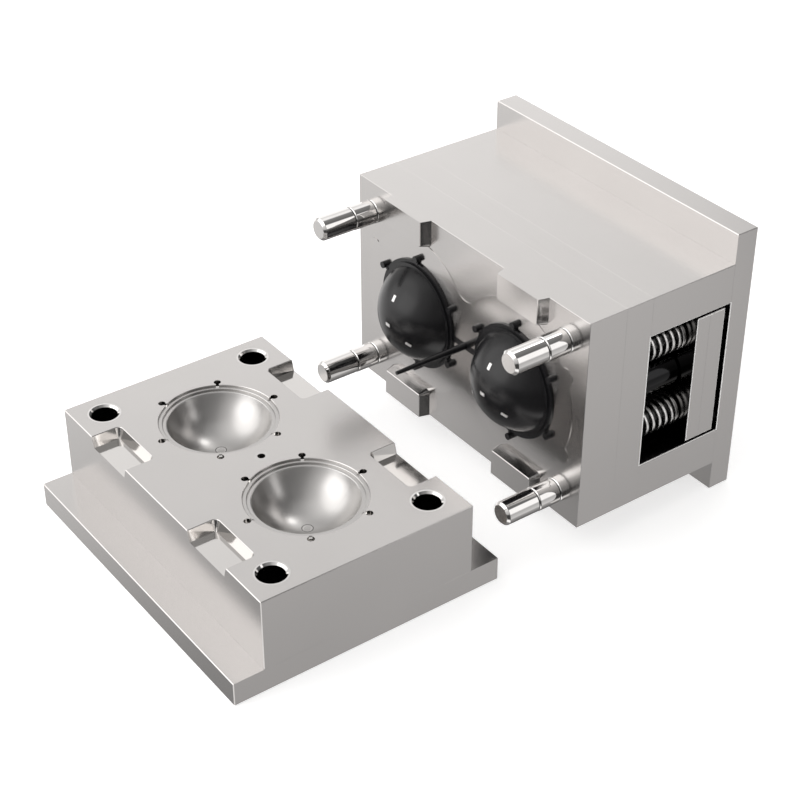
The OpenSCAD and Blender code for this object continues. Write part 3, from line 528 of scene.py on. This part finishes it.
def turned(mesh, profile, corner, centre, axis, steps):
    """Spins a profile of points, with rounded corners, once round an axis."""
    points = [mesh.verts.new(point) for point in profile]
    edges = [mesh.edges.new(pair) for pair in zip(points, points[1:])]
    rounded = bmesh.ops.bevel(
        mesh, geom=points[1:-1], offset=corner, offset_type="OFFSET", segments=3, profile=0.5,
        affect="VERTICES", material=-1)
    corners = [vertex for vertex in points + rounded["verts"] if vertex.is_valid]
    wires = once([edge for vertex in corners for edge in vertex.link_edges]
                 + [edge for edge in edges if edge.is_valid])
    ends = once(vertex for edge in wires for vertex in edge.verts)
    bmesh.ops.spin(mesh, geom=ends + wires, cent=centre, axis=axis, angle=2 * math.pi,
                   steps=steps, use_merge=True)


def finish_piece(name, mesh, materials, body, replaced, sharp):
    """Turns a bmesh into a piece that rides on a body and stands for a CAD node."""
    bmesh.ops.remove_doubles(mesh, verts=mesh.verts, dist=merge_distance)
    bmesh.ops.recalc_face_normals(mesh, faces=mesh.faces)
    data = bpy.data.meshes.new(name)
    mesh.to_mesh(data)
    mesh.free()
    data.polygons.foreach_set("use_smooth", [True] * len(data.polygons))
    data.set_sharp_from_angle(angle=math.radians(sharp))
    for material in materials:
        data.materials.append(material)
    piece = bpy.data.objects.new(name, data)
    bpy.context.scene.collection.objects.link(piece)
    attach(piece, body)
    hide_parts(replaced)
    return piece


pin_steel = ground_round("ground_pin_steel", 0)
satin_steel = plain_finish("satin_insert_steel", (0.66, 0.65, 0.64), 1.0, 0.22)
# The grooves' dark colour is a painted shadow.
groove_shadow = plain_finish("groove_painted_shadow", (0.10, 0.10, 0.10), 1.0, 0.3)

pin_low, pin_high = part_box("guide_pins")
pin_radius = 0.010
head_radius = 0.0125
head_thickness = 0.006
tip_bevel = 0.002
pin_corner = 0.0002
lead_step = 0.0003
groove_depth = 0.0007
groove_half = 0.0005
shoulder = 0.0007
front_groove = 0.0245
foot_groove = 0.0045
groove_places = (face_x - front_groove, face_x - foot_groove)
pin_steps = 96
pin_crease = 5
pin_shift = 0.002
near_y = pin_low[1] + head_radius
far_y = pin_high[1] - head_radius
low_z = pin_low[2] + head_radius
high_z = pin_high[2] - head_radius
head_front = pin_high[0] - head_thickness

pin_mesh = bmesh.new()
for pin_y, pin_z in ((far_y, low_z), (far_y, high_z), (near_y, high_z),
                     (near_y + pin_shift, low_z)):
    land = pin_radius - lead_step * len(groove_places)
    profile = [(pin_low[0], 0.0), (pin_low[0], land - tip_bevel), (pin_low[0] + tip_bevel, land)]
    for groove in groove_places:
        bottom = land - groove_depth
        profile += [(groove - groove_half, land), (groove - groove_half, bottom),
                    (groove + groove_half, bottom)]
        land += lead_step
        profile += [(groove + groove_half, land - shoulder), (groove + groove_half + shoulder, land)]
    profile += [(head_front, pin_radius), (head_front, head_radius), (pin_high[0], head_radius),
                (pin_high[0], 0.0)]
    turned(pin_mesh, [(along, pin_y, pin_z + out) for along, out in profile], pin_corner,
           (0, pin_y, pin_z), (1, 0, 0), pin_steps)

pin_finishes = (pin_steel, groove_shadow, satin_steel)
tip_margin = 0.00005
for face in pin_mesh.faces:
    face_place = face.calc_center_median().x
    if min(abs(groove - face_place) for groove in groove_places) < groove_half:
        face.material_index = pin_finishes.index(groove_shadow)
    elif face_place < pin_low[0] + tip_margin:
        face.material_index = pin_finishes.index(satin_steel)
finish_piece("guide_pins_ground", pin_mesh, pin_finishes, "core_half", "guide_pins", pin_crease)


# Guide bushes, dowels and sprue puller
# The same hardened and ground steel. The bushes stand upright in the cavity plate, so their
# rings run round the other axis.
bush_steel = ground_round("ground_bush_steel", 2)
dress("guide_bushes", bush_steel)
for node in ("spacer_dowels", "sprue_puller"):
    dress(node, pin_steel)


# Sprue bushing, locating ring and vent pins
# Turned steel with a satin skin, pressed or screwed into the cavity half.
for node in ("sprue_bushing", "locating_ring", "vent_pins"):
    dress(node, satin_steel)


# Core inserts
# Steel cores that are fine-blasted for an even, light skin. Their small bosses reach through
# the mouldings, and their light colour there is a painted highlight that shows as bright dashes.
# Painted highlight: the light insert colour makes the bosses show as bright dashes.
insert_highlight_steel = plain_finish("insert_steel_painted_highlight", (0.86, 0.85, 0.84), 0.55, 0.35)
dress("core_inserts", insert_highlight_steel)


# Support pillars and stop buttons
# Turned steel posts between the clamp plate and the support plate, blued against rust, and the
# hardened buttons that the ejector plates rest on. Their near black is blued steel and painted
# shade of the ejector space together.
# Painted shade: the near-black colour also stands for the shade in the ejector space.
blued_and_shade_steel = plain_finish("blued_steel_painted_shade", (0.024, 0.024, 0.025), 1.0, 0.11, 0.05)
for node in ("support_pillars", "stop_buttons"):
    dress(node, blued_and_shade_steel)


# Screws, plugs and seals
# Bought parts: black-oxide socket screws, turned brass nipples, plugs and baffles, and rubber
# sealing rings round the core inserts.
black_oxide = plain_finish("black_oxide_screw", (0.03, 0.03, 0.032), 0.6, 0.4)
brass = plain_finish("turned_brass", (0.75, 0.55, 0.22), 1.0, 0.25)
rubber = plain_finish("seal_rubber", (0.02, 0.02, 0.02), 0.0, 0.6)
for node in ("locating_ring_screws", "cavity_plate_screws", "core_frame_screws",
             "spacer_screws", "pillar_screws", "ejector_plate_screws"):
    dress(node, black_oxide)
for node in ("cavity_hose_nipples", "cavity_channel_plug", "insert_baffles",
             "core_hose_nipples", "core_channel_plug"):
    dress(node, brass)
dress("insert_seals", rubber)


# Return springs
# Wound from rectangular wire with rounded corners, rubbed bright outside; inside the coil, where
# shade falls, it is painted black as painted shade. The last turn at each end is closed up. They
# sit over the return pins and push the ejector plates back.
spring_low, spring_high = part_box("return_springs")
spring_radius = 0.0135
wire_width = 0.0032
wire_height = 0.0025
wire_corner = 0.0003
spring_pitch = 0.0064
closed_gap = 0.0001
closed_rise = wire_height + closed_gap
turn_steps = 48
spring_crease = 40
spring_length = spring_high[0] - spring_low[0]
open_turns = (spring_length - wire_height - 2 * closed_rise) / spring_pitch
stretches = ((1.0, closed_rise), (open_turns, spring_pitch), (1.0, closed_rise))
spring_y = spring_low[1] + spring_radius
spring_z = spring_low[2] + spring_radius
across = spring_high[1] - spring_low[1] - 2 * spring_radius
up = spring_high[2] - spring_low[2] - 2 * spring_radius

rubbed_bright = (0.95, 0.94, 0.93, 1.0)
inner_painted_shade = (0.02, 0.02, 0.02, 1.0)
wire_gloss = 0.04
wire_roughness = 0.24
spring_steel, shader, vector, *place = new_finish("spring_wire_inner_shade")
from_axis_y = (place[1] - (spring_y + across / 2)).math("ABSOLUTE") - across / 2
from_axis_z = (place[2] - (spring_z + up / 2)).math("ABSOLUTE") - up / 2
# Painted shade: the wire's side toward the coil's axis is painted black.
shaded_inner_side = from_axis_y.distance(from_axis_z).math(
    "LESS_THAN", spring_radius - wire_width + wire_corner)
rubbed = shader.noise(vector, speck_waves) * wire_gloss + wire_roughness
shader.surface({
    "Base Color": shader.mix(shaded_inner_side, rubbed_bright, inner_painted_shade),
    "Metallic": 1.0, "Roughness": rubbed.clamp()})

# One spring is wound from a square that is stretched to the wire's section, then copied.
spring_mesh = bmesh.new()
wire = bmesh.ops.create_grid(spring_mesh, x_segments=1, y_segments=1, size=0.5)["verts"]
for corner in wire:
    along = spring_low[0] + wire_height / 2 + corner.co.x * wire_height
    out = spring_radius - wire_width / 2 + corner.co.y * wire_width
    corner.co = (along, spring_y, spring_z - out)
bmesh.ops.bevel(spring_mesh, geom=wire, offset=wire_corner, offset_type="OFFSET",
                segments=3, profile=0.5, affect="VERTICES", material=-1)
last = list(spring_mesh.faces)
for turns, rise in stretches:
    steps = max(1, round(turns * turn_steps))
    edges = [edge for face in last for edge in face.edges]
    geometry = once(last + edges + [vertex for edge in edges for vertex in edge.verts])
    made = bmesh.ops.spin(
        spring_mesh, geom=geometry, cent=(0, spring_y, spring_z), axis=(1, 0, 0),
        dvec=(turns * rise / steps, 0, 0), angle=turns * 2 * math.pi, steps=steps)
    last = [item for item in made["geom_last"] if isinstance(item, bmesh.types.BMFace)]
one_spring = spring_mesh.verts[:] + spring_mesh.edges[:] + spring_mesh.faces[:]
for step in ((0, across, 0), (0, 0, up), (0, across, up)):
    copy = bmesh.ops.duplicate(spring_mesh, geom=one_spring)["geom"]
    bmesh.ops.translate(spring_mesh, vec=step, verts=[
        item for item in copy if isinstance(item, bmesh.types.BMVert)])
spring = finish_piece("wound_return_springs", spring_mesh, (spring_steel,), "core_half",
                      "return_springs", spring_crease)

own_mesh(spring)


# Moulded shot
# Two domes, their runner and the sprue in one piece of black plastic, with the satin skin that
# the polished cavities leave.
black_plastic = plain_finish("moulded_black_plastic", (0.010, 0.010, 0.011), 0.0, 0.24,
                             sheen_index=1.42)
dress("moulded_shot", black_plastic)
